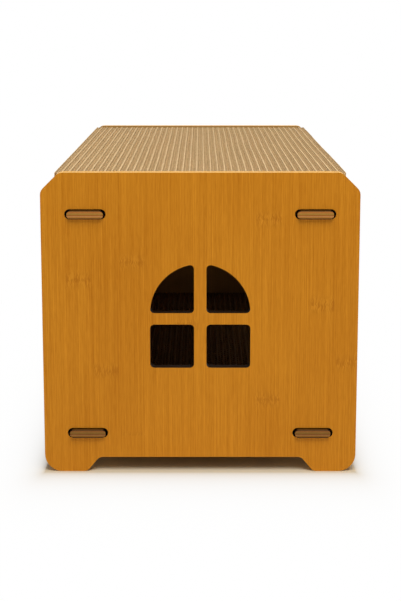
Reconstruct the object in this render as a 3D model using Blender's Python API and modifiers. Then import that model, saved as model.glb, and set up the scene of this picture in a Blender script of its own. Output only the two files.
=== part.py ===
# Cat house of slotted bamboo board, with a roof and a floor of scratching pad.
#
# Two identical end panels stand on their feet. An upper and a lower board hang
# between them by tabs that pass through slots in the panels and stand a little
# proud. Two long walls stand between the boards on tabs of their own, and one
# of them has the arched doorway. A corrugated pad lies on the floor inside, and
# the roof pad, glued up from strips, rests on the upper board between the
# panels and lifts straight off.
#
# Units are metres. X runs across the house, Y along it with the front panel at
# -Y, and Z up from the floor. The origin is on the floor under the middle.

import math

import bmesh
import bpy
from mathutils import Matrix, Vector

# House
HOUSE_LENGTH = 0.500            # outer face to outer face of the end panels
SHELL_INSET = 0.0145            # of the boards and roof pad behind the panels' side edges
SEAT_GAP = 0.0003               # between pieces that touch

# End panels
PANEL_WIDTH = 0.350
PANEL_HEIGHT = 0.341
PANEL_THICKNESS = 0.010
PANEL_ARRIS = 0.0014            # rounding of every cut edge
TOP_CHAMFER = 0.0205            # how far the top corners are cut off each way
TOP_CHAMFER_FILLET = 0.010
BOTTOM_CORNER_RADIUS = 0.020
FOOT_HEIGHT = 0.0168
FOOT_LENGTH = 0.0474            # along the floor, before its inner end is rounded
FOOT_SLOPE = math.radians(50)
FOOT_FILLET = 0.008

# Window of four panes in each end panel
WINDOW_SILL_HEIGHT = 0.121
LOWER_PANE_HEIGHT = 0.0496
ARCH_RADIUS = 0.0556            # also half the window's width
MULLION_WIDTH = 0.0138
TRANSOM_HEIGHT = 0.0130
PANE_CORNER_RADIUS = 0.0045

# Upper and lower board, and their tabs through the end panels
BOARD_THICKNESS = 0.0095
BOARD_ARRIS = 0.0008
LOWER_BOARD_UNDERSIDE = 0.0400  # above the floor
TAB_WIDTH = 0.0400
TAB_INSET = 0.0288              # from a panel's side edge to the near end of a tab
TAB_PROUD = 0.0030
TAB_ROUNDING = 0.0042
TAB_SANDING = 0.0001            # taken off each flat of a tab
TAB_ROOT_LENGTH = 0.008         # how far a tab runs into its board
SLOT_SIDE_CLEARANCE = 0.0026
SLOT_TOP_CLEARANCE = 0.0014

# Long walls between the boards
WALL_THICKNESS = 0.0095
WALL_ARRIS = 0.0012
WALL_INSET = 0.0045             # behind the boards' long edges
WALL_TAB_LENGTH = 0.060
WALL_TAB_SPACING = 0.260
WALL_TAB_CORNER_RADIUS = 0.0015
WALL_SLOT_END_CLEARANCE = 0.0010
WALL_SLOT_CORNER_RADIUS = 0.0015

# Arched doorway in the wall at +X
DOOR_WIDTH = 0.180
DOOR_SILL_HEIGHT = 0.030        # above the lower board
DOOR_HEIGHT = 0.188             # from the sill to the crown
DOOR_CORNER_RADIUS = 0.012

# Corrugated pads, glued up from strips that stand on edge
STRIP_PITCH = 0.0079
STRIP_GAP = 0.0003
ROOF_PAD_THICKNESS = 0.0399
ROOF_PAD_RECESS = 0.0018        # from the panels' top edges down to the pad's top
FLOOR_PAD_THICKNESS = 0.0250
PAD_END_CLEARANCE = 0.0010
FLOOR_PAD_SIDE_CLEARANCE = 0.0020
GLUE_LINE_WIDTH = 0.0008        # grooves between the strips of the floor pad
GLUE_LINE_DEPTH = 0.0010

# Fineness of round stretches
CHORD_ERROR = 0.0001            # how far a chord may cut inside its arc
EDGE_SEGMENTS = 3

# Levels and lengths that follow from the sizes above
SHELL_WIDTH = PANEL_WIDTH - 2 * SHELL_INSET
TAB_SPACING = PANEL_WIDTH - 2 * TAB_INSET - TAB_WIDTH
PANEL_INNER_Y = HOUSE_LENGTH / 2 - PANEL_THICKNESS
LOWER_BOARD_TOP = LOWER_BOARD_UNDERSIDE + BOARD_THICKNESS
UPPER_BOARD_TOP = PANEL_HEIGHT - ROOF_PAD_RECESS - ROOF_PAD_THICKNESS - SEAT_GAP
UPPER_BOARD_UNDERSIDE = UPPER_BOARD_TOP - BOARD_THICKNESS
WALL_MIDDLE_X = SHELL_WIDTH / 2 - WALL_INSET - WALL_THICKNESS / 2
WALL_INNER_X = WALL_MIDDLE_X - WALL_THICKNESS / 2

BAMBOO = ("bamboo", (0.47, 0.16, 0.013), 0.45)
PLAIN_BAMBOO = ("plain bamboo", (0.52, 0.22, 0.04), 0.50)
CARDBOARD = ("corrugated cardboard", (0.42, 0.26, 0.12), 0.90)


def clear_scene():
    """Leave an empty scene, with one collection for parts and one for cutters."""
    for old in list(bpy.data.objects):
        bpy.data.objects.remove(old, do_unlink=True)
    for name in ("cat_house", "cutters"):
        bpy.context.scene.collection.children.link(bpy.data.collections.new(name))


def material(look):
    """Principled material from a name, a linear colour and a roughness."""
    name, colour, roughness = look
    made = bpy.data.materials.get(name)
    if made is None:
        made = bpy.data.materials.new(name)
        made.use_nodes = True
        shader = made.node_tree.nodes["Principled BSDF"]
        shader.inputs["Base Color"].default_value = (*colour, 1.0)
        shader.inputs["Roughness"].default_value = roughness
        shader.inputs["Metallic"].default_value = 0.0
        made.diffuse_color = (*colour, 1.0)
    return made


def arc(centre, radius, start, end):
    """Points from one angle to another about a centre, both ends included."""
    widest_step = 2 * math.acos(1 - min(CHORD_ERROR / radius, 0.1))
    steps = max(2, math.ceil(abs(end - start) / widest_step))
    angles = [start + (end - start) * step / steps for step in range(steps + 1)]
    return [
        (centre[0] + radius * math.cos(angle), centre[1] + radius * math.sin(angle))
        for angle in angles
    ]


def rounded(corners):
    """Closed outline from (x, y, radius) corners, each radius a fillet arc."""
    points = []
    for index, (x, y, radius) in enumerate(corners):
        here = Vector((x, y))
        if radius == 0:
            points.append((x, y))
            continue
        back = (Vector(corners[index - 1][:2]) - here).normalized()
        onward = (Vector(corners[(index + 1) % len(corners)][:2]) - here).normalized()
        half_angle = back.angle(onward) / 2
        centre = here + (back + onward).normalized() * radius / math.sin(half_angle)
        run = radius / math.tan(half_angle)
        first = here + back * run - centre
        last = here + onward * run - centre
        start = math.atan2(first.y, first.x)
        turn = math.atan2(first.x * last.y - first.y * last.x, first.dot(last))
        points += arc(centre, radius, start, start + turn)
    return points


def rectangle(low, high, radius):
    """Rectangular outline with four equal corner radii."""
    return rounded([
        (low[0], low[1], radius),
        (high[0], low[1], radius),
        (high[0], high[1], radius),
        (low[0], high[1], radius),
    ])


def mirrored(outline):
    """The same outline on the other side of the vertical axis."""
    return [(-x, y) for x, y in reversed(outline)]


def in_order(outline, holes_side):
    """Outline wound anticlockwise, or clockwise for a hole."""
    area = sum(
        a[0] * b[1] - b[0] * a[1]
        for a, b in zip(outline, outline[1:] + outline[:1])
    )
    return outline if (area > 0) != holes_side else outline[::-1]


def plate(name, outline, holes, thickness, matrix, collection="cat_house"):
    """Flat piece cut to an outline with holes, centred on its mid-plane.

    The outline lies in the local XY plane, and the matrix places the piece.
    """
    curve = bpy.data.curves.new(name, "CURVE")
    curve.dimensions = "2D"
    curve.fill_mode = "BOTH"
    curve.extrude = thickness / 2
    loops = [in_order(outline, False)] + [in_order(hole, True) for hole in holes]
    for loop in loops:
        spline = curve.splines.new("POLY")
        spline.points.add(len(loop) - 1)
        for point, (x, y) in zip(spline.points, loop):
            point.co = (x, y, 0.0, 1.0)
        spline.use_cyclic_u = True
    drawn = bpy.data.objects.new(name + "_outline", curve)
    drawn.matrix_world = matrix
    bpy.context.scene.collection.objects.link(drawn)
    bpy.context.view_layer.update()
    graph = bpy.context.evaluated_depsgraph_get()
    mesh = bpy.data.meshes.new_from_object(drawn.evaluated_get(graph))
    mesh.name = name
    weld(mesh)
    piece = bpy.data.objects.new(name, mesh)
    piece.matrix_world = matrix
    bpy.data.collections[collection].objects.link(piece)
    bpy.data.objects.remove(drawn)
    bpy.data.curves.remove(curve)
    return piece


def weld(mesh):
    """Close the caps to the walls, with few faces on each flat, all outwards."""
    shape = bmesh.new()
    shape.from_mesh(mesh)
    bmesh.ops.remove_doubles(shape, verts=shape.verts, dist=0.00001)
    bmesh.ops.dissolve_limit(
        shape, angle_limit=math.radians(1), verts=shape.verts, edges=shape.edges
    )
    bmesh.ops.recalc_face_normals(shape, faces=shape.faces)
    shape.to_mesh(mesh)
    shape.free()


def block(name, low, high, collection="cat_house"):
    """Box between two corners, with its origin at its own middle."""
    low, high = Vector(low), Vector(high)
    mesh = bpy.data.meshes.new(name)
    shape = bmesh.new()
    bmesh.ops.create_cube(shape, size=1.0, matrix=Matrix.Diagonal((*(high - low), 1.0)))
    shape.to_mesh(mesh)
    shape.free()
    piece = bpy.data.objects.new(name, mesh)
    piece.location = (low + high) / 2
    bpy.data.collections[collection].objects.link(piece)
    return piece


def round_edges(piece, width):
    """Round every edge where two faces meet at a sharp angle."""
    bevel = piece.modifiers.new("arris", "BEVEL")
    bevel.width = width
    bevel.segments = EDGE_SEGMENTS
    bevel.limit_method = "ANGLE"
    bevel.angle_limit = math.radians(40)


def combine(piece, other, operation):
    """Join another solid to a piece, or cut it away, and keep it as a guide."""
    boolean = piece.modifiers.new(other.name, "BOOLEAN")
    boolean.operation = operation
    boolean.solver = "EXACT"
    boolean.object = other
    other.hide_render = True
    other.display_type = "WIRE"


def upright(y):
    """Placement that stands an outline up across the house, at a Y."""
    return Matrix.Translation((0, y, 0)) @ Matrix.Rotation(math.radians(90), 4, "X")


def lengthwise(x):
    """Placement that stands an outline up along the house, at an X."""
    turn = Matrix.Rotation(math.radians(90), 4, "Z") @ Matrix.Rotation(math.radians(90), 4, "X")
    return Matrix.Translation((x, 0, 0)) @ turn


def panel_outline():
    """End panel with cut top corners, and two feet with a raised edge between."""
    half = PANEL_WIDTH / 2
    foot_end = half - FOOT_LENGTH
    foot_top = foot_end - FOOT_HEIGHT / math.tan(FOOT_SLOPE)
    right = [
        (foot_top, FOOT_HEIGHT, FOOT_FILLET),
        (foot_end, 0, FOOT_FILLET),
        (half, 0, BOTTOM_CORNER_RADIUS),
        (half, PANEL_HEIGHT - TOP_CHAMFER, TOP_CHAMFER_FILLET),
        (half - TOP_CHAMFER, PANEL_HEIGHT, TOP_CHAMFER_FILLET),
    ]
    left = [(-x, z, radius) for x, z, radius in reversed(right)]
    return rounded(right + left)


def lower_pane():
    """Right-hand pane under the transom."""
    low = (MULLION_WIDTH / 2, WINDOW_SILL_HEIGHT)
    high = (ARCH_RADIUS, WINDOW_SILL_HEIGHT + LOWER_PANE_HEIGHT)
    return rectangle(low, high, PANE_CORNER_RADIUS)


def arched_pane():
    """Right-hand pane above the transom, a quarter round with three fillets."""
    radius = PANE_CORNER_RADIUS
    left = MULLION_WIDTH / 2
    spring = WINDOW_SILL_HEIGHT + LOWER_PANE_HEIGHT + TRANSOM_HEIGHT
    inner = ARCH_RADIUS - radius
    crown = (left + radius, math.sqrt(inner ** 2 - (left + radius) ** 2))
    toe = (math.sqrt(inner ** 2 - radius ** 2), radius)
    crown_angle = math.atan2(crown[1], crown[0])
    toe_angle = math.atan2(toe[1], toe[0])
    quarter = math.radians(90)
    points = arc(toe, radius, -quarter, toe_angle)
    points += arc((0, 0), ARCH_RADIUS, toe_angle, crown_angle)[1:-1]
    points += arc(crown, radius, crown_angle, 2 * quarter)
    points += arc((left + radius, radius), radius, 2 * quarter, 3 * quarter)
    return [(x, spring + z) for x, z in points]


def tab_slot(board_underside):
    """Right-hand slot for a board's tab, round at both ends."""
    low_z = board_underside + TAB_SANDING - SEAT_GAP
    high_z = board_underside + BOARD_THICKNESS + SLOT_TOP_CLEARANCE
    half_width = TAB_WIDTH / 2 + SLOT_SIDE_CLEARANCE
    middle = TAB_SPACING / 2
    radius = (high_z - low_z) / 2 * 0.999
    return rectangle((middle - half_width, low_z), (middle + half_width, high_z), radius)


def make_end_panels():
    """Front and rear panel, cut alike."""
    right = [lower_pane(), arched_pane()]
    right += [tab_slot(level) for level in (LOWER_BOARD_UNDERSIDE, UPPER_BOARD_UNDERSIDE)]
    holes = right + [mirrored(hole) for hole in right]
    middle = HOUSE_LENGTH / 2 - PANEL_THICKNESS / 2
    front = plate("front_panel", panel_outline(), holes, PANEL_THICKNESS, upright(-middle))
    rear = bpy.data.objects.new("rear_panel", front.data)
    rear.matrix_world = upright(middle)
    bpy.data.collections["cat_house"].objects.link(rear)
    for panel in (front, rear):
        round_edges(panel, PANEL_ARRIS)
        panel.data.materials.clear()
        panel.data.materials.append(material(BAMBOO))


def add_tabs(board, underside):
    """Join two tabs with rounded long edges to each end of a board."""
    tab_root = PANEL_INNER_Y - SEAT_GAP - TAB_ROOT_LENGTH
    tab_end = HOUSE_LENGTH / 2 + TAB_PROUD
    for side in (-1, 1):
        middle = side * TAB_SPACING / 2
        low = (middle - TAB_WIDTH / 2, underside + TAB_SANDING)
        high = (middle + TAB_WIDTH / 2, underside + BOARD_THICKNESS - TAB_SANDING)
        section = rectangle(low, high, TAB_ROUNDING)
        for end in (-1, 1):
            name = f"{board.name}_tab_{side}_{end}"
            place = upright(end * (tab_root + tab_end) / 2)
            tab = plate(name, section, [], tab_end - tab_root, place, "cutters")
            round_edges(tab, BOARD_ARRIS)
            combine(board, tab, "UNION")


def cut_wall_slots(board, level):
    """Cut four slots through a board for the tabs of the long walls."""
    half_x = WALL_THICKNESS / 2 + SEAT_GAP
    half_y = WALL_TAB_LENGTH / 2 + WALL_SLOT_END_CLEARANCE
    for side in (-1, 1):
        for end in (-1, 1):
            x, y = side * WALL_MIDDLE_X, end * WALL_TAB_SPACING / 2
            hole = rectangle((x - half_x, y - half_y), (x + half_x, y + half_y),
                             WALL_SLOT_CORNER_RADIUS)
            name = f"{board.name}_slot_{side}_{end}"
            cutter = plate(name, hole, [], BOARD_THICKNESS * 2, level, "cutters")
            combine(board, cutter, "DIFFERENCE")


def make_board(name, underside):
    """Board with slots for the walls, and two rounded tabs at each end."""
    half_x = SHELL_WIDTH / 2
    half_y = PANEL_INNER_Y - SEAT_GAP
    top = underside + BOARD_THICKNESS
    board = block(name, (-half_x, -half_y, underside), (half_x, half_y, top))
    round_edges(board, BOARD_ARRIS)
    add_tabs(board, underside)
    cut_wall_slots(board, Matrix.Translation((0, 0, underside + BOARD_THICKNESS / 2)))
    board.data.materials.append(material(PLAIN_BAMBOO))


def wall_outline():
    """Long wall with two tabs up and two down, drawn along the house."""
    bottom = LOWER_BOARD_TOP + SEAT_GAP
    top = UPPER_BOARD_UNDERSIDE - SEAT_GAP
    end = PANEL_INNER_Y - SEAT_GAP
    tab_height = BOARD_THICKNESS
    corner = WALL_TAB_CORNER_RADIUS
    lower = []
    for middle in (-WALL_TAB_SPACING / 2, WALL_TAB_SPACING / 2):
        near, far = middle - WALL_TAB_LENGTH / 2, middle + WALL_TAB_LENGTH / 2
        lower += [
            (near, bottom, 0),
            (near, bottom - tab_height, corner),
            (far, bottom - tab_height, corner),
            (far, bottom, 0),
        ]
    upper = [(-y, top + bottom - z, radius) for y, z, radius in lower]
    outline = [(-end, bottom, 0)] + lower + [(end, bottom, 0)]
    outline += [(end, top, 0)] + upper + [(-end, top, 0)]
    return rounded(outline)


def doorway():
    """Arched opening, a half round on two straight jambs over a low sill."""
    radius = DOOR_WIDTH / 2
    sill = LOWER_BOARD_TOP + DOOR_SILL_HEIGHT
    spring = sill + DOOR_HEIGHT - radius
    corner = DOOR_CORNER_RADIUS
    quarter = math.radians(90)
    points = arc((0, spring), radius, 0, 2 * quarter)
    points += arc((corner - radius, sill + corner), corner, 2 * quarter, 3 * quarter)
    points += arc((radius - corner, sill + corner), corner, 3 * quarter, 4 * quarter)
    return points


def make_walls():
    """The wall with the doorway at +X, and the closed wall at -X."""
    for name, x, holes in (
        ("door_wall", WALL_MIDDLE_X, [doorway()]),
        ("closed_wall", -WALL_MIDDLE_X, []),
    ):
        wall = plate(name, wall_outline(), holes, WALL_THICKNESS, lengthwise(x))
        round_edges(wall, WALL_ARRIS)
        wall.data.materials.clear()
        wall.data.materials.append(material(PLAIN_BAMBOO))


def make_roof_pad():
    """Strips of corrugated board side by side, from edge to edge of the shell."""
    count = round(SHELL_WIDTH / STRIP_PITCH)
    pitch = SHELL_WIDTH / count
    low_z = UPPER_BOARD_TOP + SEAT_GAP
    half_y = PANEL_INNER_Y - PAD_END_CLEARANCE
    for index in range(count):
        middle = (index - (count - 1) / 2) * pitch
        half_x = (pitch - STRIP_GAP) / 2
        strip = block(
            f"roof_strip_{index + 1:02d}",
            (middle - half_x, -half_y, low_z),
            (middle + half_x, half_y, low_z + ROOF_PAD_THICKNESS),
        )
        strip.data.materials.append(material(CARDBOARD))


def make_floor_pad():
    """One block of strips, with a shallow groove along each glue line."""
    count = math.floor((WALL_INNER_X - FLOOR_PAD_SIDE_CLEARANCE) * 2 / STRIP_PITCH)
    half_x = count * STRIP_PITCH / 2
    half_y = PANEL_INNER_Y - PAD_END_CLEARANCE
    low_z = LOWER_BOARD_TOP + SEAT_GAP
    high_z = low_z + FLOOR_PAD_THICKNESS
    outline = [(-half_x, low_z), (half_x, low_z), (half_x, high_z)]
    for index in range(count - 1, 0, -1):
        line = (index - count / 2) * STRIP_PITCH
        outline += [
            (line + GLUE_LINE_WIDTH / 2, high_z),
            (line, high_z - GLUE_LINE_DEPTH),
            (line - GLUE_LINE_WIDTH / 2, high_z),
        ]
    outline.append((-half_x, high_z))
    pad = plate("floor_pad", outline, [], 2 * half_y, upright(0))
    pad.data.materials.clear()
    pad.data.materials.append(material(CARDBOARD))


clear_scene()
make_end_panels()
make_board("lower_board", LOWER_BOARD_UNDERSIDE)
make_board("upper_board", UPPER_BOARD_UNDERSIDE)
make_walls()
make_floor_pad()
make_roof_pad()
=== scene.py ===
# %% [markdown]
# # A cat house of slotted bamboo board
#
# The house has two end panels that stand on their feet, two boards that hang between
# them by tabs, and two long walls. Its roof is a thick scratching pad of corrugated
# cardboard. The wooden pieces come ready from the CAD model, at their real size, so this
# script gives them their finish. The two pads are plain blocks there, so this script
# builds them again from paper, wave by wave.

# %% Load the frame
import math
import random
from collections import namedtuple

import bmesh
import bpy
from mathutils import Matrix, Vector


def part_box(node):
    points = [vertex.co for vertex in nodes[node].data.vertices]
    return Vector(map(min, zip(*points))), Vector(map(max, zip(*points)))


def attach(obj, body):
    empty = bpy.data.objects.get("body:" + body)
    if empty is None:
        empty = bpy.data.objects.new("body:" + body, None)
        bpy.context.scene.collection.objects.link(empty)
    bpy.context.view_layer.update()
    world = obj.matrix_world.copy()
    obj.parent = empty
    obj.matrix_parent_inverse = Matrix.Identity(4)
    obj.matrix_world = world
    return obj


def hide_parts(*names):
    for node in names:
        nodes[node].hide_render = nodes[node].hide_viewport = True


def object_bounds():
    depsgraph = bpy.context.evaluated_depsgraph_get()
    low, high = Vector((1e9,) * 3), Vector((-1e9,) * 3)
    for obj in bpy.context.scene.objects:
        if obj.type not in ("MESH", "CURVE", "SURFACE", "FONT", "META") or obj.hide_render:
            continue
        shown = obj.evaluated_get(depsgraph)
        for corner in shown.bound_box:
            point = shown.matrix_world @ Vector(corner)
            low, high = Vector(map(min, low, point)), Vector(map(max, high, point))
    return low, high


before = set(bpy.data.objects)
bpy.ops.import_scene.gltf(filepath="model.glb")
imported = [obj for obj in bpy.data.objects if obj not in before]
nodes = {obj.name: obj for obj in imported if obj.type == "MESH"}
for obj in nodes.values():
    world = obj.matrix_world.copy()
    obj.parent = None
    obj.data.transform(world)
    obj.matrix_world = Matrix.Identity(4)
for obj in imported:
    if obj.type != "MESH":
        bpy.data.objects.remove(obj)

MM = 0.001
cad_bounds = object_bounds()
bpy.ops.object.select_all(action="DESELECT")

# %% [markdown]
# ## Colours and nodes
#
# Screens show sRGB colours, and a shader works with linear ones, so one function turns a
# hex value from the colour chart into the number that the shader needs. Materials here
# are built only from nodes. A node is always made in the same three moves, which are to
# add it, to set it and to link it, so one function does all three.

# %% Two small helpers
def linear(hex_colour):
    """Linear RGBA from an sRGB hex colour."""
    channels = [int(hex_colour[i:i + 2], 16) / 255 for i in (1, 3, 5)]
    curve = [c / 12.92 if c <= 0.04045 else ((c + 0.055) / 1.055) ** 2.4 for c in channels]
    return (*curve, 1.0)


def add_node(tree, kind, inputs, **settings):
    """Add a node, set its options, and set or link each input named by its socket."""
    made = tree.nodes.new("ShaderNode" + kind)
    for name, value in settings.items():
        setattr(made, name, value)
    for socket, value in inputs.items():
        if isinstance(value, bpy.types.NodeSocket):
            tree.links.new(value, made.inputs[socket])
        else:
            made.inputs[socket].default_value = value
    return made


print("mid grey in linear:", round(linear("#808080")[0], 3))

# %% [markdown]
# Two patterns come back in several materials. Streaks are a noise that is stretched along
# one axis, as fibres are. Bands are flat colours side by side, as the plies of a board.

# %% Two patterns
def streaks(tree, place, along, width, length, detail=1.0):
    """Noise of streaks about so wide, and drawn out to about so long on one axis."""
    scale = [1 / width] * 3
    scale["XYZ".index(along)] = 1 / length
    drawn_out = add_node(tree, "Mapping", {"Vector": place, "Scale": scale})
    noise = add_node(tree, "TexNoise", {
        "Vector": drawn_out.outputs[0], "Scale": 1.0, "Detail": detail,
    })
    return noise.outputs[0]


def bands(tree, distance, start, end, colours):
    """Bands of flat colour, all of one width, from the start to the end of a distance."""
    share = add_node(tree, "MapRange", {"Value": distance, "From Min": start, "From Max": end})
    ramp = add_node(tree, "ValToRGB", {0: share.outputs[0]})
    ramp.color_ramp.interpolation = "CONSTANT"
    stops = ramp.color_ramp.elements
    for index, colour in enumerate(colours):
        stop = stops[0] if index == 0 else stops.new(index / len(colours))
        stop.color = colour
    # A new ramp comes with a stop at its far end, which no band needs
    stops.remove(stops[len(stops) - 1])
    return ramp.outputs[0]


print("patterns ready:", streaks.__name__, "and", bands.__name__)

# %% [markdown]
# ## Carbonised bamboo board
#
# The boards are laminated from steamed bamboo, which turns the pale cane a warm orange
# brown. The face is laid up from strips about 30 mm wide. Every strip keeps the rings of
# its cane, the nodes, about every 205 mm, as a short streaky band where the fibres
# swerve. The strips are cut beside their nodes, so none lies close to an end of the
# board. A photograph of bamboo would be the quick way to such a face. A pattern worked
# out from real sizes follows each board's own grain instead, and stays sharp close up.
#
# A board has its grain along one axis, its strips across another and its plies through
# the third. A record of these three axes and of the board's corners is all that the
# functions below need to know, so they serve every board.

# %% Where a point lies on a board
Board = namedtuple("Board", "along across through low high")


def span(board, axis):
    """Where a board starts and ends along an axis."""
    number = "XYZ".index(axis)
    return board.low[number], board.high[number]


def clear_of_ends(tree, spot, board, axis, margin):
    """Socket that is 1 where a point is further than the margin from both ends."""
    start, end = span(board, axis)
    apart = add_node(tree, "Math", {0: spot[axis], 1: (start + end) / 2}, operation="SUBTRACT")
    distance = add_node(tree, "Math", {0: apart.outputs[0]}, operation="ABSOLUTE")
    clear = add_node(tree, "Math", {
        0: distance.outputs[0], 1: (end - start) / 2 - margin,
    }, operation="LESS_THAN")
    return clear.outputs[0]


end_panel = Board("Z", "X", "Y", *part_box("rear_panel"))
inner_face, outer_face = span(end_panel, end_panel.through)
print(f"the end panels are {(outer_face - inner_face) / MM:.1f} mm thick")

# %% [markdown]
# Every strip of the face has its cane nodes at a height of its own, and some are clearer
# than others. The shader can't look up a list, so a ramp carries it in: every strip is
# one band of colour, with the height in its red and the strength in its green.

# %% Cane nodes
STRIP_WIDTH = 30 * MM
NODE_SPACING = 205 * MM
NODE_REACH = 14.4 * MM      # how far the streaks of a node go up and down
SEAM_FADE = 2.4 * MM        # how soon they fade beside the seam of the strip
END_MARGIN = 42 * MM        # how far from an end of the board the marks stop


def cane_marks(tree, spot, board, cane_nodes):
    """Distance to the nearest cane node in node spacings, and the strength of its mark.

    The cane nodes are listed as one (height in mm, strength) pair for each strip.
    """
    half_width = STRIP_WIDTH * len(cane_nodes) / 2
    colours = [(height * MM / NODE_SPACING, strength, 0.0, 1.0) for height, strength in cane_nodes]
    strips = bands(tree, spot[board.across], -half_width, half_width, colours)
    held = add_node(tree, "SeparateColor", {0: strips})
    turns = add_node(tree, "Math", {0: spot[board.along], 1: NODE_SPACING}, operation="DIVIDE")
    ahead = add_node(tree, "Math", {0: turns.outputs[0], 1: held.outputs[0]}, operation="SUBTRACT")
    away = add_node(tree, "Math", {0: ahead.outputs[0], 1: 0.5}, operation="PINGPONG")
    near = add_node(tree, "MapRange", {
        "Value": away.outputs[0], "From Min": 0.0, "From Max": NODE_REACH / NODE_SPACING,
        "To Min": 1.0, "To Max": 0.0,
    }, interpolation_type="SMOOTHSTEP")
    counted = add_node(tree, "Math", {0: spot[board.across], 1: STRIP_WIDTH}, operation="DIVIDE")
    seam = add_node(tree, "Math", {0: counted.outputs[0], 1: 0.5}, operation="PINGPONG")
    inside = add_node(tree, "MapRange", {
        "Value": seam.outputs[0], "From Min": 0.0, "From Max": SEAM_FADE / STRIP_WIDTH,
    }, interpolation_type="SMOOTHSTEP")
    clear = clear_of_ends(tree, spot, board, board.along, END_MARGIN)
    mark = near.outputs[0]
    for factor in (inside.outputs[0], held.outputs[1], clear):
        mark = add_node(tree, "Math", {0: mark, 1: factor}, operation="MULTIPLY").outputs[0]
    return away.outputs[0], mark


print(f"strips {STRIP_WIDTH / MM:.0f} mm wide, with a node every {NODE_SPACING / MM:.0f} mm")

# %% [markdown]
# A fibre bundle of bamboo is about 0.5 mm wide. It is drawn 0.75 mm wide here, because
# finer ones would melt into one tone in the picture. Four layers of streaks make the
# grain: the bundles, shorter flecks in them, wider cords, and a slow drift from strip to
# strip. At a node the fibres swerve, so there the place that the grain is read from is
# pushed sideways.

# %% Grain
NODE_SWERVE = 5 * MM
SWERVE_SIZE = 5 * MM

# Width across the grain, length along it, and share of the tone
GRAIN_LAYERS = (
    (0.75 * MM, 150 * MM, 0.90),
    (0.80 * MM, 12 * MM, 0.55),
    (6.0 * MM, 300 * MM, 0.28),
    (70 * MM, 200 * MM, 0.35),
)


def swerved_place(tree, place, board, mark):
    """Place on the board, pushed across the grain where there is a mark."""
    knot = add_node(tree, "TexNoise", {
        "Vector": place, "Scale": 1 / SWERVE_SIZE, "Detail": 1.0,
    })
    push = add_node(tree, "Math", {0: knot.outputs[0], 1: 0.5}, operation="SUBTRACT")
    shove = add_node(tree, "Math", {0: push.outputs[0], 1: mark}, operation="MULTIPLY")
    aside = [0.0, 0.0, 0.0]
    aside["XYZ".index(board.across)] = NODE_SWERVE
    step = add_node(tree, "VectorMath", {0: aside, "Scale": shove.outputs[0]}, operation="SCALE")
    return add_node(tree, "VectorMath", {0: place, 1: step.outputs[0]}).outputs[0]


def grain_tone(tree, place, board):
    """Tone of the fibres, mostly from 0, which is dark, to 1, which is pale."""
    tone = 0.5 - sum(share for width, length, share in GRAIN_LAYERS) / 2
    for width, length, share in GRAIN_LAYERS:
        layer = streaks(tree, place, board.along, width, length)
        added = add_node(tree, "Math", {0: layer, 1: share, 2: tone}, operation="MULTIPLY_ADD")
        tone = added.outputs[0]
    return tone


print("layers of grain:", len(GRAIN_LAYERS))

# %% [markdown]
# The oiled face is orange. A cane node stains it with short dashes of brown and straw,
# which are closest along the line of the node itself.

# %% Oiled face
DARK_FIBRE = "#a86102"
LIGHT_FIBRE = "#d28b21"
NODE_BROWN = "#945002"
NODE_STRAW = "#cf8b24"
NODE_LINE = 3 * MM
LINE_WEIGHT = 0.12          # how much the line of a node adds to the noise of its dashes
DASH_WIDTH = 0.8 * MM
DASH_LENGTH = 7 * MM
DASH_START = 0.40           # level of that noise up to which a node is straw
DASH_FULL = 0.60            # and from which it is brown
NODE_STAIN = 0.38


def oiled_face(tree, place, board, tone, away, mark):
    """Colour of a face with its fibres and its cane nodes."""
    fibre = add_node(tree, "Mix", {
        0: tone, 6: linear(DARK_FIBRE), 7: linear(LIGHT_FIBRE),
    }, data_type="RGBA")
    dash = streaks(tree, place, board.along, DASH_WIDTH, DASH_LENGTH, detail=0.0)
    line = add_node(tree, "MapRange", {
        "Value": away, "From Min": 0.0, "From Max": NODE_LINE / NODE_SPACING,
        "To Min": LINE_WEIGHT, "To Max": 0.0,
    })
    streaky = add_node(tree, "Math", {0: dash, 1: line.outputs[0]}, operation="ADD")
    dark = add_node(tree, "MapRange", {
        "Value": streaky.outputs[0], "From Min": DASH_START, "From Max": DASH_FULL,
    })
    ring = add_node(tree, "Mix", {
        0: dark.outputs[0], 6: linear(NODE_STRAW), 7: linear(NODE_BROWN),
    }, data_type="RGBA")
    stain = add_node(tree, "Math", {0: mark, 1: NODE_STAIN}, operation="MULTIPLY")
    stained = add_node(tree, "Mix", {
        0: stain.outputs[0], 6: fibre.outputs[2], 7: ring.outputs[2],
    }, data_type="RGBA")
    return stained.outputs[2]


print("oiled fibres from", DARK_FIBRE, "to", LIGHT_FIBRE)

# %% [markdown]
# The tabs were scorched by the laser that cut them. The board beside their ends is drawn
# browned nearly black, a little as the laser's smoke and mostly as painted shade of the gap
# round each tab in its slot. The face of the far panel that looks inwards shows as a thin
# line of duller tan behind the roof pad. So all the faces that look inwards or down at the
# floor are taken to be bare wood, without oil.

# %% Painted shade by the tabs, and bare wood
# Near-black brown, a little laser smoke and mostly painted shade of the gap round a tab in its
# slot
SMOKE_AND_SHADE = "#24150a"
BARE_WOOD = "#ac8349"


def shade_tab_ends(tree, spot, board, colour, shade_length):
    """The colour, darkened more and more over the shaded length before both ends, as painted shade
    of the slot gap.
    """
    end = span(board, board.along)[1]
    far = add_node(tree, "Math", {0: spot[board.along]}, operation="ABSOLUTE")
    end_share = add_node(tree, "MapRange", {
        "Value": far.outputs[0], "From Min": end - shade_length, "From Max": end,
    })
    end_darkened = add_node(tree, "Mix", {
        0: end_share.outputs[0], 6: colour, 7: linear(SMOKE_AND_SHADE),
    }, data_type="RGBA")
    return end_darkened.outputs[2]


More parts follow.
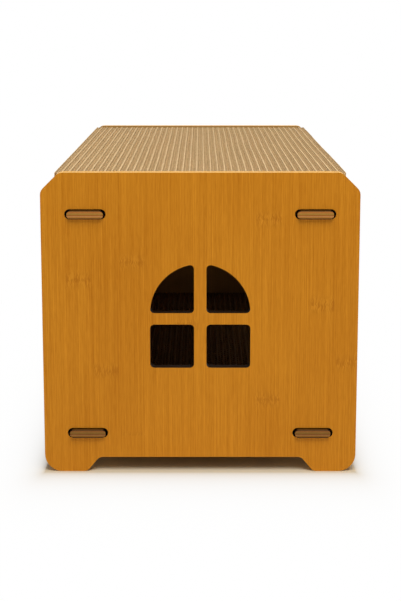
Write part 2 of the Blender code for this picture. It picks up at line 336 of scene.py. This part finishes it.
def bare_inside(tree, spot, lean, board, colour, fibres):
    """The colour, with bare wood on the face that looks inwards or down."""
    bare = add_node(tree, "VectorMath", {
        0: linear(BARE_WOOD)[:3], "Scale": fibres,
    }, operation="SCALE")
    outward = add_node(tree, "Math", {
        0: lean[board.through], 1: spot[board.through],
    }, operation="MULTIPLY")
    inner = add_node(tree, "Math", {0: outward.outputs[0], 1: 0.0}, operation="LESS_THAN")
    sides = add_node(tree, "Mix", {
        0: inner.outputs[0], 6: colour, 7: bare.outputs[0],
    }, data_type="RGBA")
    return sides.outputs[2]


print("smoke", SMOKE_AND_SHADE, "and bare wood", BARE_WOOD)

# %% [markdown]
# A cut edge shows the plies. The board is pressed from thin layers, of about 2 mm in a
# panel or a wall and 1.4 mm in an inner board. Some are seen along their fibres and some
# on their ends, which is why they differ in tone.
#
# The outline is sanded, but the windows, the slots and the doorway are drawn with a black
# edge, partly the char that the cutting laser left and partly painted shade inside the
# holes. They lie within a frame round the board's middle, so two distances from that
# middle tell them from the outline.

# %% Cut edges
# Black of laser char and painted shade inside the windows, slots and doorway
CHAR_AND_SHADE = "#1c0f05"


def inside_outline(tree, spot, board, rim):
    """Socket that is 1 further from the board's outline than the rim, where cuts are burnt."""
    off_ends = clear_of_ends(tree, spot, board, board.along, rim)
    off_sides = clear_of_ends(tree, spot, board, board.across, rim)
    inside = add_node(tree, "Math", {0: off_ends, 1: off_sides}, operation="MULTIPLY")
    return inside.outputs[0]


def cut_edge(tree, spot, board, plies, fibres, blackened):
    """Colour of a cut edge, with its plies or its black of char and painted shade."""
    level = add_node(tree, "Math", {0: spot[board.through]}, operation="ABSOLUTE")
    start, end = span(board, board.through)
    layers = bands(tree, level.outputs[0], start, end, [linear(colour) for colour in plies])
    ply = add_node(tree, "VectorMath", {0: layers, "Scale": fibres}, operation="SCALE")
    edge = add_node(tree, "Mix", {0: blackened, 6: ply.outputs[0], 7: linear(CHAR_AND_SHADE)}, data_type="RGBA")
    return edge.outputs[2]


print("cuts inside the outline are burnt to", CHAR_AND_SHADE)

# %% [markdown]
# The shader tells an edge from a face by the normal. On a face it points through the
# board, on an edge it doesn't, and on the rounded arris between the two it leans. The
# arris is drawn a little paler, as a painted highlight where the rounded edge catches the
# light, but round the tabs it is drawn nearly black, as painted shade of the slot gap.

# %% From the face over the arris to the edge
# Paler arris colour as a painted highlight; the near-black one is painted shade round the tabs
PAINTED_ARRIS_HIGHLIGHT = "#be883e"
SHADED_TAB_ARRIS = "#2c190b"
ARRIS_START = 0.995         # how square the normal is to the face where the arris starts
ARRIS_FULL = 0.96           # and where it has its full colour
EDGE_LEAN = 0.5             # how square it is where a sanded edge starts
BLACK_EDGE_LEAN = 0.97            # the same for a blackened one, whose char and painted shade cover the arris
LEAN_BLUR = 0.1


def face_to_edge(tree, lean, board, face, arris, edge, blackened):
    """Colour of the face, the arris or the edge, as the normal tells."""
    facing = add_node(tree, "Math", {0: lean[board.through]}, operation="ABSOLUTE")
    turned = add_node(tree, "MapRange", {
        "Value": facing.outputs[0], "From Min": ARRIS_START, "From Max": ARRIS_FULL,
    })
    # Painted highlight or painted shade on the arris, mixed in as the normal turns
    face_or_arris = add_node(tree, "Mix", {
        0: turned.outputs[0], 6: face, 7: linear(arris),
    }, data_type="RGBA")
    steep = add_node(tree, "Mix", {0: blackened, 2: EDGE_LEAN, 3: BLACK_EDGE_LEAN})
    leaning = add_node(tree, "Math", {
        0: steep.outputs[0], 1: facing.outputs[0],
    }, operation="SUBTRACT")
    cut = add_node(tree, "MapRange", {
        "Value": leaning.outputs[0], "From Min": 0.0, "From Max": LEAN_BLUR,
    })
    surface = add_node(tree, "Mix", {
        0: cut.outputs[0], 6: face_or_arris.outputs[2], 7: edge,
    }, data_type="RGBA")
    return surface.outputs[2]


print("arris", PAINTED_ARRIS_HIGHLIGHT, "or", SHADED_TAB_ARRIS, "round the tabs")

# %% [markdown]
# The finish is a matt oil. Its gloss is soft and weak, and drier where the fibre is pale.
# The fibres stand out from it by less than a tenth of a millimetre.

# %% The bamboo material
FIBRE_SHADE = (0.8, 1.2)    # dark and pale fibres on bare wood and plies, against the mean
OIL_ROUGHNESS = (0.42, 0.58)
FIBRE_RELIEF = 0.05 * MM


def matt_oil(tree, shader, tone):
    """Soft, weak gloss over fibres that stand out a little."""
    gloss = add_node(tree, "MapRange", {
        "Value": tone, "To Min": OIL_ROUGHNESS[0], "To Max": OIL_ROUGHNESS[1],
    })
    tree.links.new(gloss.outputs[0], shader.inputs["Roughness"])
    shader.inputs["IOR"].default_value = 1.5
    shader.inputs["Specular IOR Level"].default_value = 0.1
    relief = add_node(tree, "Bump", {
        "Strength": 0.35, "Distance": FIBRE_RELIEF, "Height": tone,
    })
    tree.links.new(relief.outputs[0], shader.inputs["Normal"])


def bamboo(name, board, cane_nodes, plies, arris, rim, shade_length=0.0):
    """Bamboo board with its grain, its strips and its plies along its three axes.

    The board's corners are those of the one on the side of +X and +Y, and the plies are
    listed from its lower or inner face. Cuts further than the rim from the outline are
    drawn black, as char and painted shade, and faces nearer to the ends than the shade
    length are darkened, as painted shade of the slot gap.
    """
    made = bpy.data.materials.new(name)
    made.use_nodes = True
    tree = made.node_tree
    shader = tree.nodes["Principled BSDF"]
    place = add_node(tree, "TexCoord", {})
    spot = add_node(tree, "SeparateXYZ", {0: place.outputs["Object"]}).outputs
    lean = add_node(tree, "SeparateXYZ", {0: place.outputs["Normal"]}).outputs
    away, mark = cane_marks(tree, spot, board, cane_nodes)
    swerved = swerved_place(tree, place.outputs["Object"], board, mark)
    tone = grain_tone(tree, swerved, board)
    shaded = add_node(tree, "MapRange", {
        "Value": tone, "To Min": FIBRE_SHADE[0], "To Max": FIBRE_SHADE[1],
    })
    fibres = shaded.outputs[0]
    face = oiled_face(tree, swerved, board, tone, away, mark)
    # Near the ends the face is darkened, as painted shade of the slot gap round the tabs
    if shade_length:
        face = shade_tab_ends(tree, spot, board, face, shade_length)
    face = bare_inside(tree, spot, lean, board, face, fibres)
    blackened = inside_outline(tree, spot, board, rim)
    edge = cut_edge(tree, spot, board, plies, fibres, blackened)
    colour = face_to_edge(tree, lean, board, face, arris, edge, blackened)
    tree.links.new(colour, shader.inputs["Base Color"])
    matt_oil(tree, shader, tone)
    return made


def finish_nodes(material, *names):
    """Give CAD nodes a material in place of their plain one."""
    for name in names:
        mesh = nodes[name].data
        mesh.materials.clear()
        mesh.materials.append(material)
    print(material.name, "on", ", ".join(names))


# %% [markdown]
# ## The end panels
#
# The grain stands upright on both end panels. The heights of the cane nodes were chosen
# strip by strip from left to right, where the real panel shows them. A strength of zero
# leaves a strip without one, where none shows.

# %% End panels
panel_plies = ("#e3ab57", "#cc933e", "#ecb960", "#cc933e", "#f3c26a")
panel_nodes = (
    (70, 0.0), (16, 1.0), (117, 0.8), (36, 0.9), (146, 0.4), (171, 0.7),
    (150, 0.4), (196, 0.4), (84, 1.0), (250, 0.0), (193, 1.0), (126, 0.9),
)
PANEL_RIM = 17 * MM
panel_board = bamboo(
    "carbonised_bamboo_upright", end_panel, panel_nodes, panel_plies, PAINTED_ARRIS_HIGHLIGHT, PANEL_RIM,
)
finish_nodes(panel_board, "front_panel", "rear_panel")

# %% [markdown]
# ## Boards and walls
#
# The inner boards are the same stuff laid the other way, with the grain along the house,
# so that the tabs are strong. Their ends are what shows in the slots: end grain, darker
# than a face, in bands of olive, red and straw over a lowest one that is drawn nearly
# black, as painted shade of the gap under the tab. The lower board's bands are all drawn
# darker than the upper board's, as painted shade. The cane nodes of these boards are out
# of sight in the picture, so they are drawn by lot from a fixed seed. The strips of a
# board are counted from the middle of the house to both sides. On the walls that middle
# is the floor line, so their lower twelve strips go unused.

# %% Boards and walls
board_plies = {
    # First band nearly black, as painted shade under the tab; the lower board's bands are a
    # darker, painted-shade copy
    "upper_board": ("#4e2e12", "#9f6926", "#b27943", "#935a1e", "#9d7732", "#ac6c30", "#9a6324"),
    "lower_board": ("#40270c", "#80541a", "#8c6032", "#744616", "#7d5e26", "#885525", "#7a4e1c"),
}
BOARD_STRIPS = 12
BOARD_RIM = 1 * MM
# How far from a tab's end the painted shade of its slot gap reaches
SHADED_END = 12 * MM
WALL_STRIPS = 24
WALL_RIM = 14 * MM
lots = random.Random(11)


def drawn_nodes(strips):
    """Heights and strengths for the cane nodes of a board, one pair a strip."""
    spacing = round(NODE_SPACING / MM)
    return [(lots.randrange(spacing), lots.uniform(0.5, 1.0)) for _ in range(strips)]


for name, plies in board_plies.items():
    board = Board("Y", "X", "Z", *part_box(name))
    material = bamboo(
        "carbonised_bamboo_" + name, board, drawn_nodes(BOARD_STRIPS), plies,
        SHADED_TAB_ARRIS, BOARD_RIM, SHADED_END,
    )
    finish_nodes(material, name)

wall = Board("Y", "Z", "X", *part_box("door_wall"))
wall_board = bamboo(
    "carbonised_bamboo_wall", wall, drawn_nodes(WALL_STRIPS), panel_plies, PAINTED_ARRIS_HIGHLIGHT, WALL_RIM,
)
finish_nodes(wall_board, "door_wall", "closed_wall")

# %% [markdown]
# ## Kraft paper
#
# Corrugated board is made of brown kraft paper: flat sheets, the liners, and wavy sheets
# between them, the fluting. A liner sinks in a little between the waves that it is glued
# to, so a faint upright ridge shows on the long sides of the pad for each wave. Its colour
# is drawn a little paler on each ridge and darker between them, as painted shade.

# %% Ridges of the waves
WAVE_LENGTH = 7.8 * MM
RIDGE_HEIGHT = 0.15 * MM
# How much paler each ridge and darker each hollow is painted, as painted shade
RIDGE_SHADE = 0.05


def wave_ridges(tree, place, colour, relief):
    """The colour, with painted shade between the ridges, and the relief, with a faint upright
    ridge for each wave.
    """
    spot = add_node(tree, "SeparateXYZ", {0: place})
    turn = add_node(tree, "Math", {
        0: spot.outputs["Y"], 1: 2 * math.pi / WAVE_LENGTH,
    }, operation="MULTIPLY")
    ridge = add_node(tree, "Math", {0: turn.outputs[0]}, operation="SINE")
    ridge_shading = add_node(tree, "Math", {
        0: ridge.outputs[0], 1: RIDGE_SHADE, 2: 1.0,
    }, operation="MULTIPLY_ADD")
    ridge_shaded = add_node(tree, "VectorMath", {0: colour, "Scale": ridge_shading.outputs[0]}, operation="SCALE")
    raised = add_node(tree, "Bump", {
        "Strength": 1.0, "Distance": RIDGE_HEIGHT / 2, "Height": ridge.outputs[0],
        "Normal": relief,
    })
    return ridge_shaded.outputs[0], raised.outputs[0]


print(f"a ridge every {WAVE_LENGTH / MM:.1f} mm")

# %% [markdown]
# Paper is matt, with flecks of fibre, and it takes the light on its cut edges. The walls
# of the fluting are drawn a little paler than the liners, because they stand in each
# other's shade. The pad on the floor inside is drawn in darker paper, as painted shade,
# so that the inside of the house looks dark. The flecks are drawn 2 mm wide and 14 mm
# long, far coarser than real ones, because the picture looks along the pad at a flat
# angle, where shorter ones would melt away.

# %% Paper materials
FLECK_WIDTH = 2 * MM
FLECK_LENGTH = 14 * MM
FLECK_START = 0.4           # level of the noise at which a fleck starts to show
FLECK_FULL = 0.65
EDGE_START = 0.5            # how far up the paper looks where its cut edge starts
EDGE_FULL = 0.8
PAPER_RELIEF = 0.05 * MM


def kraft_paper(name, face_colour, edge_colour, fleck_colour, ridged):
    """Matt brown paper with flecks, and a tone of its own on the cut edge on top."""
    made = bpy.data.materials.new(name)
    made.use_nodes = True
    tree = made.node_tree
    shader = tree.nodes["Principled BSDF"]
    place = add_node(tree, "TexCoord", {})
    lean = add_node(tree, "SeparateXYZ", {0: place.outputs["Normal"]})
    upward = add_node(tree, "MapRange", {
        "Value": lean.outputs["Z"], "From Min": EDGE_START, "From Max": EDGE_FULL,
    })
    sheet = add_node(tree, "Mix", {
        0: upward.outputs[0], 6: linear(face_colour), 7: linear(edge_colour),
    }, data_type="RGBA")
    flecks = streaks(tree, place.outputs["Object"], "Y", FLECK_WIDTH, FLECK_LENGTH)
    share = add_node(tree, "MapRange", {
        "Value": flecks, "From Min": FLECK_START, "From Max": FLECK_FULL,
    })
    flecked = add_node(tree, "Mix", {
        0: share.outputs[0], 6: sheet.outputs[2], 7: linear(fleck_colour),
    }, data_type="RGBA")
    bump = add_node(tree, "Bump", {
        "Strength": 0.3, "Distance": PAPER_RELIEF, "Height": flecks,
    })
    colour = flecked.outputs[2]
    relief = bump.outputs[0]
    if ridged:
        colour, relief = wave_ridges(tree, place.outputs["Object"], colour, relief)
    tree.links.new(colour, shader.inputs["Base Color"])
    tree.links.new(relief, shader.inputs["Normal"])
    shader.inputs["Roughness"].default_value = 0.9
    shader.inputs["IOR"].default_value = 1.45
    shader.inputs["Specular IOR Level"].default_value = 0.15
    return made


papers = {
    "roof": (kraft_paper("kraft_liner", "#d4b080", "#d7b88b", "#cbac7f", ridged=True),
             kraft_paper("kraft_fluting", "#efd09e", "#d2b07d", "#e0c08e", ridged=False)),
    # The floor pad's papers are drawn dark, as painted shade of the inside of the house
    "floor": (kraft_paper("painted_shade_kraft_liner", "#866038", "#7c5936", "#735231", ridged=True),
              kraft_paper("painted_shade_kraft_fluting", "#8c6439", "#7a5731", "#7d5933", ridged=False)),
}
for liner_paper, flute_paper in papers.values():
    print("paper:", liner_paper.name, flute_paper.name)

# %% [markdown]
# ## Corrugated board, one wave at a time
#
# A scratching pad is cut from sheets of double-wall board that are glued face to face
# and then sawn across, so that the cat meets the paper on edge. Each strip of the pad is
# one sheet of board: two outer liners, a middle liner, and a layer of fluting on each
# side of it. The pad's light stripes are the outer liners of two neighbours, back to
# back, and the darker lanes between them are the open flutes.

# %% Sizes of the corrugated board
strip_names = sorted(name for name in nodes if name.startswith("roof_strip_"))
first_low, first_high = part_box(strip_names[0])
second_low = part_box(strip_names[1])[0]
BOARD_PITCH = second_low.x - first_low.x
OUTER_LINER = 0.75 * MM
MIDDLE_LINER = 0.25 * MM
FLUTE_PAPER = 0.30 * MM
GLUE_GAP = 0.04 * MM
FLUTE_DROP = 0.3 * MM       # the saw leaves the soft flutes a little below the liners
MIDDLE_DROP = 1.5 * MM      # the thin middle liner is worn down into the shade between them
flute_space = (BOARD_PITCH - 2 * (OUTER_LINER + GLUE_GAP) - MIDDLE_LINER) / 2
print(f"board {BOARD_PITCH / MM:.2f} mm thick, flutes {flute_space / MM:.2f} mm high")

# %% [markdown]
# An operator acts on whatever is selected, so every step below first selects just what it
# is meant for.

# %% Selecting
def only(*pieces):
    """Select these objects and no others, with the first one active."""
    bpy.ops.object.select_all(action="DESELECT")
    for piece in pieces:
        piece.select_set(True)
    bpy.context.view_layer.objects.active = pieces[0]


def select_points(piece, wanted):
    """In edit mode, select the points whose place passes a test, and what they join."""
    shape = bmesh.from_edit_mesh(piece.data)
    bpy.ops.mesh.select_all(action="DESELECT")
    for point in shape.verts:
        point.select = wanted(point.co)
    shape.select_flush(True)
    bmesh.update_edit_mesh(piece.data)


def apply_all(piece):
    """Apply every modifier of a piece, top to bottom."""
    only(piece)
    for modifier in list(piece.modifiers):
        bpy.ops.object.modifier_apply(modifier=modifier.name)


print("selected to start with:", len(bpy.context.selected_objects))

# %% [markdown]
# The flutes could be drawn as a texture on a block. But the pad is seen along its top,
# where the light falls into the flutes and not onto them, so real paper walls give the
# right shade by themselves. One wave is bent by hand from a flat grid, and an Array
# repeats it.

# %% One sheet of fluting
WAVE_STEPS = 8
WELD_DISTANCE = 0.01 * MM
CREASE_ANGLE = math.radians(50)     # the waves are smooth, and the cut edges stay sharp


def fluting(name, length, height, paper):
    """Wavy sheet of paper that stands on edge along Y, one wave longer than asked."""
    upright = (math.radians(90), 0, math.radians(90))
    bpy.ops.mesh.primitive_grid_add(
        x_subdivisions=WAVE_STEPS, y_subdivisions=1, size=1, rotation=upright,
    )
    sheet = bpy.context.object
    sheet.name = name
    sheet.scale = (WAVE_LENGTH, height, 1)
    bpy.ops.object.transform_apply()
    bpy.ops.object.mode_set(mode="EDIT")
    swing = (flute_space - FLUTE_PAPER) / 2
    for step in range(1, WAVE_STEPS):
        along = (step / WAVE_STEPS - 0.5) * WAVE_LENGTH
        select_points(sheet, lambda co: abs(co.y - along) < WAVE_LENGTH / WAVE_STEPS / 4)
        out = swing * math.sin(2 * math.pi * step / WAVE_STEPS)
        bpy.ops.transform.translate(value=(out, 0, 0))
    bpy.ops.object.mode_set(mode="OBJECT")
    waves = math.ceil(length / WAVE_LENGTH) + 1
    row = sheet.modifiers.new("row", "ARRAY")
    row.count = waves
    row.relative_offset_displace = (0, 1, 0)
    row.use_merge_vertices = True
    row.merge_threshold = WELD_DISTANCE
    wall = sheet.modifiers.new("wall", "SOLIDIFY")
    wall.thickness = FLUTE_PAPER
    wall.offset = 0
    apply_all(sheet)
    sheet.location = (0, -(waves - 1) * WAVE_LENGTH / 2, 0)
    bpy.ops.object.transform_apply()
    bpy.ops.object.shade_smooth_by_angle(angle=CREASE_ANGLE)
    sheet.data.materials.append(paper)
    print(name, "has", waves, "waves")
    return sheet


print("one wave is bent in", WAVE_STEPS, "steps")

# %% [markdown]
# A liner is a thin flat box with cuts across it, so that it can bend later.

# %% One liner
LINER_STEPS = 24


def liner(name, thickness, length, height, paper):
    """Flat sheet of paper on edge along Y, with cuts across it."""
    bpy.ops.mesh.primitive_cube_add(size=1, scale=(thickness, length, height))
    sheet = bpy.context.object
    sheet.name = name
    bpy.ops.object.mode_set(mode="EDIT")
    shape = bmesh.from_edit_mesh(sheet.data)
    bpy.ops.mesh.select_all(action="DESELECT")
    for edge in shape.edges:
        start, end = (point.co for point in edge.verts)
        edge.select = abs(end.y - start.y) > length / 2
    bmesh.update_edit_mesh(sheet.data)
    bpy.ops.mesh.subdivide(number_cuts=LINER_STEPS - 1)
    bpy.ops.object.mode_set(mode="OBJECT")
    sheet.data.materials.append(paper)
    return sheet


print("a liner can bend at", LINER_STEPS - 1, "cuts")

# %% [markdown]
# ## The pads
#
# The sheets of a pad are copied from three patterns: one outer liner, one middle liner
# and one sheet of fluting. The copies are joined, and the ends of the fluting are sawn
# off square with a bisect.

# %% Copying, joining and sawing
def copy_to(pattern, x, y, z):
    """Copy of a pattern with its own mesh, at a new place."""
    twin = pattern.copy()
    twin.data = pattern.data.copy()
    twin.location = (x, y, z)
    bpy.context.scene.collection.objects.link(twin)
    return twin


def join(name, pieces):
    """Join pieces into one object that sits at the origin."""
    only(*pieces)
    bpy.ops.object.join()
    joined = bpy.context.object
    joined.name = name
    bpy.ops.object.transform_apply()
    return joined


def saw_off(piece, end, side):
    """Cut a piece off square at a place along Y, and close the cut."""
    only(piece)
    bpy.ops.object.mode_set(mode="EDIT")
    bpy.ops.mesh.select_all(action="SELECT")
    bpy.ops.mesh.bisect(
        plane_co=(0, side * end, 0), plane_no=(0, side, 0), use_fill=True, clear_outer=True,
    )
    bpy.ops.object.mode_set(mode="OBJECT")
    print(piece.name, "sawn off at", round(side * end / MM, 1), "mm")


# %% [markdown]
# Each flute is pushed along by a different amount, as in a real stack, where no two
# sheets start their waves together. A glued pad is never quite straight either. A
# Displace modifier with slow clouds leans the whole stack to and fro by less than a
# millimetre, all sheets alike, so that the stripes waver and still never touch.

# %% Building a block of corrugated board
SWAY = 1.4 * MM             # from one side to the other
SWAY_SIZE = 150 * MM
phases = random.Random(4)
clouds = bpy.data.textures.new("slow_clouds", "CLOUDS")
clouds.noise_scale = SWAY_SIZE


def corrugated_block(name, low, count, height, length, stock):
    """Strips of double-wall board side by side, from their low corner at -X."""
    liner_paper, flute_paper = papers[stock]
    outer = liner(name + "_outer", OUTER_LINER, length, height, liner_paper)
    middle = liner(name + "_middle", MIDDLE_LINER, length, height - MIDDLE_DROP, liner_paper)
    flute = fluting(name + "_flute", length, height - FLUTE_DROP, flute_paper)
    centre_y = low.y + length / 2
    centre_z = low.z + height / 2
    flute_z = centre_z - FLUTE_DROP / 2
    middle_z = centre_z - MIDDLE_DROP / 2
    flutes = []
    liners = []
    for index in range(count):
        left = low.x + index * BOARD_PITCH
        centre = left + BOARD_PITCH / 2
        for side in (-1, 1):
            push = phases.uniform(-0.5, 0.5) * WAVE_LENGTH
            away = side * (MIDDLE_LINER + flute_space) / 2
            flutes.append(copy_to(flute, centre + away, centre_y + push, flute_z))
            edge = side * (BOARD_PITCH / 2 - GLUE_GAP - OUTER_LINER / 2)
            liners.append(copy_to(outer, centre + edge, centre_y, centre_z))
        liners.append(copy_to(middle, centre, centre_y, middle_z))
    stack = join(name + "_flutes", flutes)
    for side in (-1, 1):
        saw_off(stack, length / 2 - GLUE_GAP, side)
    for pattern in (outer, middle, flute):
        bpy.data.objects.remove(pattern)
    block = join(name, [stack] + liners)
    sway = block.modifiers.new("sway", "DISPLACE")
    sway.texture = clouds
    sway.texture_coords = "LOCAL"
    sway.direction = "X"
    sway.strength = SWAY
    apply_all(block)
    print(name, "has", count, "strips and", len(block.data.polygons), "faces")
    return block


# %% [markdown]
# The roof pad fills the width between its outermost strips. It is built in four blocks,
# to keep each mesh light, and each block stands for the strips that it fills.

# %% Roof pad
ROOF_BLOCKS = 4


def shares(strips, blocks):
    """First strip of each block and of the one after it, with strips shared out evenly."""
    firsts = [round(strips * block / blocks) for block in range(blocks + 1)]
    return zip(firsts, firsts[1:])


strip_gap = BOARD_PITCH - (first_high.x - first_low.x)
roof_low = first_low - Vector((strip_gap / 2, 0, 0))
roof_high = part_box(strip_names[-1])[1]
for number, (start, end) in enumerate(shares(len(strip_names), ROOF_BLOCKS), start=1):
    low = roof_low + Vector((start * BOARD_PITCH, 0, 0))
    block = corrugated_block(
        f"roof_pad_block_{number}", low, end - start,
        roof_high.z - roof_low.z, roof_high.y - roof_low.y, "roof",
    )
    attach(block, "roof_pad")
    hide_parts(*strip_names[start:end])

# %% [markdown]
# The pad on the floor inside is the same board, sawn thinner, with as many whole strips
# as fit. It only shows through the doorway and the windows.

# %% Floor pad
FLOOR_BLOCKS = 2
floor_low, floor_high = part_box("floor_pad")
floor_strips = math.floor((floor_high.x - floor_low.x) / BOARD_PITCH)
for number, (start, end) in enumerate(shares(floor_strips, FLOOR_BLOCKS), start=1):
    low = floor_low + Vector((start * BOARD_PITCH, 0, 0))
    block = corrugated_block(
        f"floor_pad_block_{number}", low, end - start,
        floor_high.z - floor_low.z, floor_high.y - floor_low.y, "floor",
    )
    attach(block, "house")
    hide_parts("floor_pad")

# %% [markdown]
# ## Floor and light
#
# The picture is a studio shot on white. What the camera sees of the floor and the sky is
# painted plain white, and that is also what a glossy or clear surface would mirror or let
# through, so those rays are sorted with the camera's own.

# %% Rays that see the plain backdrop
def seen_rays(tree):
    """Socket that is 1 for rays from the camera, a gloss or a clear surface, else 0."""
    ray = add_node(tree, "LightPath", {})
    glossy = add_node(tree, "Math", {
        0: ray.outputs["Is Camera Ray"], 1: ray.outputs["Is Glossy Ray"],
    }, operation="MAXIMUM")
    clear = add_node(tree, "Math", {
        0: glossy.outputs[0], 1: ray.outputs["Is Transmission Ray"],
    }, operation="MAXIMUM")
    print("backdrop rays are sorted in", tree.name)
    return clear.outputs[0]


# %% [markdown]
# A white floor that is lit like everything else would come out grey where the light thins
# out, so the camera sees it turn plain white away from the house. The distance is measured
# from the outline that the house covers on the floor, and counts for more at the sides,
# where the shadow is narrow, than at the ends. The shadow near the house stays, because
# the same light still falls there. Near the house the camera also sees the floor in a
# darker, warm paint, a painted shadow with the tone of light from the orange wood, which
# fades into the white over that distance.

# %% Distance from the house
SIDE_FADE = 7 * MM
FRONT_FADE = 12 * MM
FLOOR_TAIL = 0.70           # below 1 it makes the shadow end more slowly than it starts


def away_from_house(tree):
    """Socket that grows from 0 under the house to 1 on the open floor."""
    house_high = cad_bounds[1]
    place = add_node(tree, "TexCoord", {})
    mirrored = add_node(tree, "VectorMath", {0: place.outputs["Object"]}, operation="ABSOLUTE")
    beyond = add_node(tree, "VectorMath", {
        0: mirrored.outputs[0], 1: (house_high[0], house_high[1], 0),
    }, operation="SUBTRACT")
    outside = add_node(tree, "VectorMath", {
        0: beyond.outputs[0], 1: (0, 0, 0),
    }, operation="MAXIMUM")
    scaled = add_node(tree, "VectorMath", {
        0: outside.outputs[0], 1: (SIDE_FADE, FRONT_FADE, 1),
    }, operation="DIVIDE")
    reach = add_node(tree, "VectorMath", {0: scaled.outputs[0]}, operation="LENGTH")
    slowed = add_node(tree, "Math", {
        0: reach.outputs["Value"], 1: FLOOR_TAIL,
    }, operation="POWER")
    shade = add_node(tree, "Math", {0: 1 / math.e, 1: slowed.outputs[0]}, operation="POWER")
    far = add_node(tree, "Math", {0: 1.0, 1: shade.outputs[0]}, operation="SUBTRACT")
    return far.outputs[0]


print(f"the shadow dies away over some {FRONT_FADE / MM:.0f} mm in front of the house")

# %% [markdown]
# One plane serves as the floor. Its paint is matt and lit wherever the shadow counts, and
# there the camera sees it in the darker warm paint of a painted shadow. It glows plain
# white where the camera should see only the backdrop.

# %% Floor
FLOOR_SIZE = 14             # metres
FLOOR_PAINT = 0.92
PAINTED_FLOOR_SHADOW = (0.57, 0.49, 0.36, 1)      # painted shadow: the darker warm tone that the camera sees near the house
bpy.ops.mesh.primitive_plane_add(size=FLOOR_SIZE)
floor = bpy.context.object
floor.name = "studio_floor"
white_floor = bpy.data.materials.new("white_studio_floor")
white_floor.use_nodes = True
tree = white_floor.node_tree
tree.nodes.clear()
seen = seen_rays(tree)
# Painted shadow: near the house the camera sees the darker warm paint, further out the white glow
fade = add_node(tree, "Math", {0: away_from_house(tree), 1: seen}, operation="MULTIPLY")
paint = add_node(tree, "Mix", {
    0: seen, 6: (FLOOR_PAINT, FLOOR_PAINT, FLOOR_PAINT, 1), 7: PAINTED_FLOOR_SHADOW,
}, data_type="RGBA")
matt = add_node(tree, "BsdfDiffuse", {"Color": paint.outputs[2]})
white = add_node(tree, "Emission", {"Color": (1, 1, 1, 1), "Strength": 1.0})
both = add_node(tree, "MixShader", {
    0: fade.outputs[0], 1: matt.outputs[0], 2: white.outputs[0],
})
add_node(tree, "OutputMaterial", {0: both.outputs[0]})
floor.data.materials.append(white_floor)
print(floor.name, "is", FLOOR_SIZE, "m wide")

# %% [markdown]
# For the house the sky is a dim white that grows towards the zenith, as under the ceiling
# of a light tent, and for the camera it is plain white. One softbox high in front gives
# the soft shadow.

# %% Light
SKY_LOW = 0.04
SKY_HIGH = 0.55
AIM_HEIGHT = 170 * MM       # half as high as the house
world = bpy.data.worlds.new("white_studio")
bpy.context.scene.world = world
world.use_nodes = True
tree = world.node_tree
view = add_node(tree, "TexCoord", {})
direction = add_node(tree, "SeparateXYZ", {0: view.outputs["Generated"]})
dome = add_node(tree, "MapRange", {
    "Value": direction.outputs["Z"], "To Min": SKY_LOW, "To Max": SKY_HIGH,
})
level = add_node(tree, "Mix", {0: seen_rays(tree), 2: dome.outputs[0], 3: 1.0})
sky = tree.nodes["Background"]
sky.inputs["Color"].default_value = (1, 1, 1, 1)
tree.links.new(level.outputs[0], sky.inputs["Strength"])


def softbox(name, azimuth, elevation, distance, size, energy):
    """Square area light that looks at the house, from angles given in degrees."""
    turn, rise = math.radians(azimuth), math.radians(elevation)
    aim = Vector((0, 0, AIM_HEIGHT))
    level_way = Vector((math.sin(turn), -math.cos(turn), 0))
    away = level_way * math.cos(rise) + Vector((0, 0, math.sin(rise)))
    bpy.ops.object.light_add(type="AREA", location=aim + away * distance)
    lamp = bpy.context.object
    lamp.name = name
    lamp.data.size = size
    lamp.data.energy = energy
    lamp.rotation_euler = away.to_track_quat("Z", "Y").to_euler()
    print(name, "at", tuple(round(value, 2) for value in lamp.location))


softbox("main_softbox", azimuth=14, elevation=62, distance=2.8, size=1.4, energy=70)

# %% [markdown]
# ## Camera
#
# The camera stands 1.1 m in front of the house at about half a metre and looks down by
# seven degrees. A steeper look would make the sides of the house lean more, so for the
# rest of the way the picture is shifted on the sensor, as with a shift lens.

# %% Camera
CAMERA_LENS = 61.75         # mm
CAMERA_SHIFT = -0.25        # share of the picture's longer side
CAMERA_PLACE = (0.0003, -1.3594, 0.5074)
CAMERA_DOWN = 7.29          # degrees
camera_data = bpy.data.cameras.new("picture_camera")
camera = bpy.data.objects.new("picture_camera", camera_data)
bpy.context.scene.collection.objects.link(camera)
camera_data.lens = CAMERA_LENS
camera_data.shift_y = CAMERA_SHIFT
camera.location = CAMERA_PLACE
camera.rotation_euler = (math.radians(90 - CAMERA_DOWN), 0, 0)
bpy.context.scene.camera = camera
bpy.context.scene.view_settings.view_transform = "Standard"
print("camera", camera_data.lens, "mm")
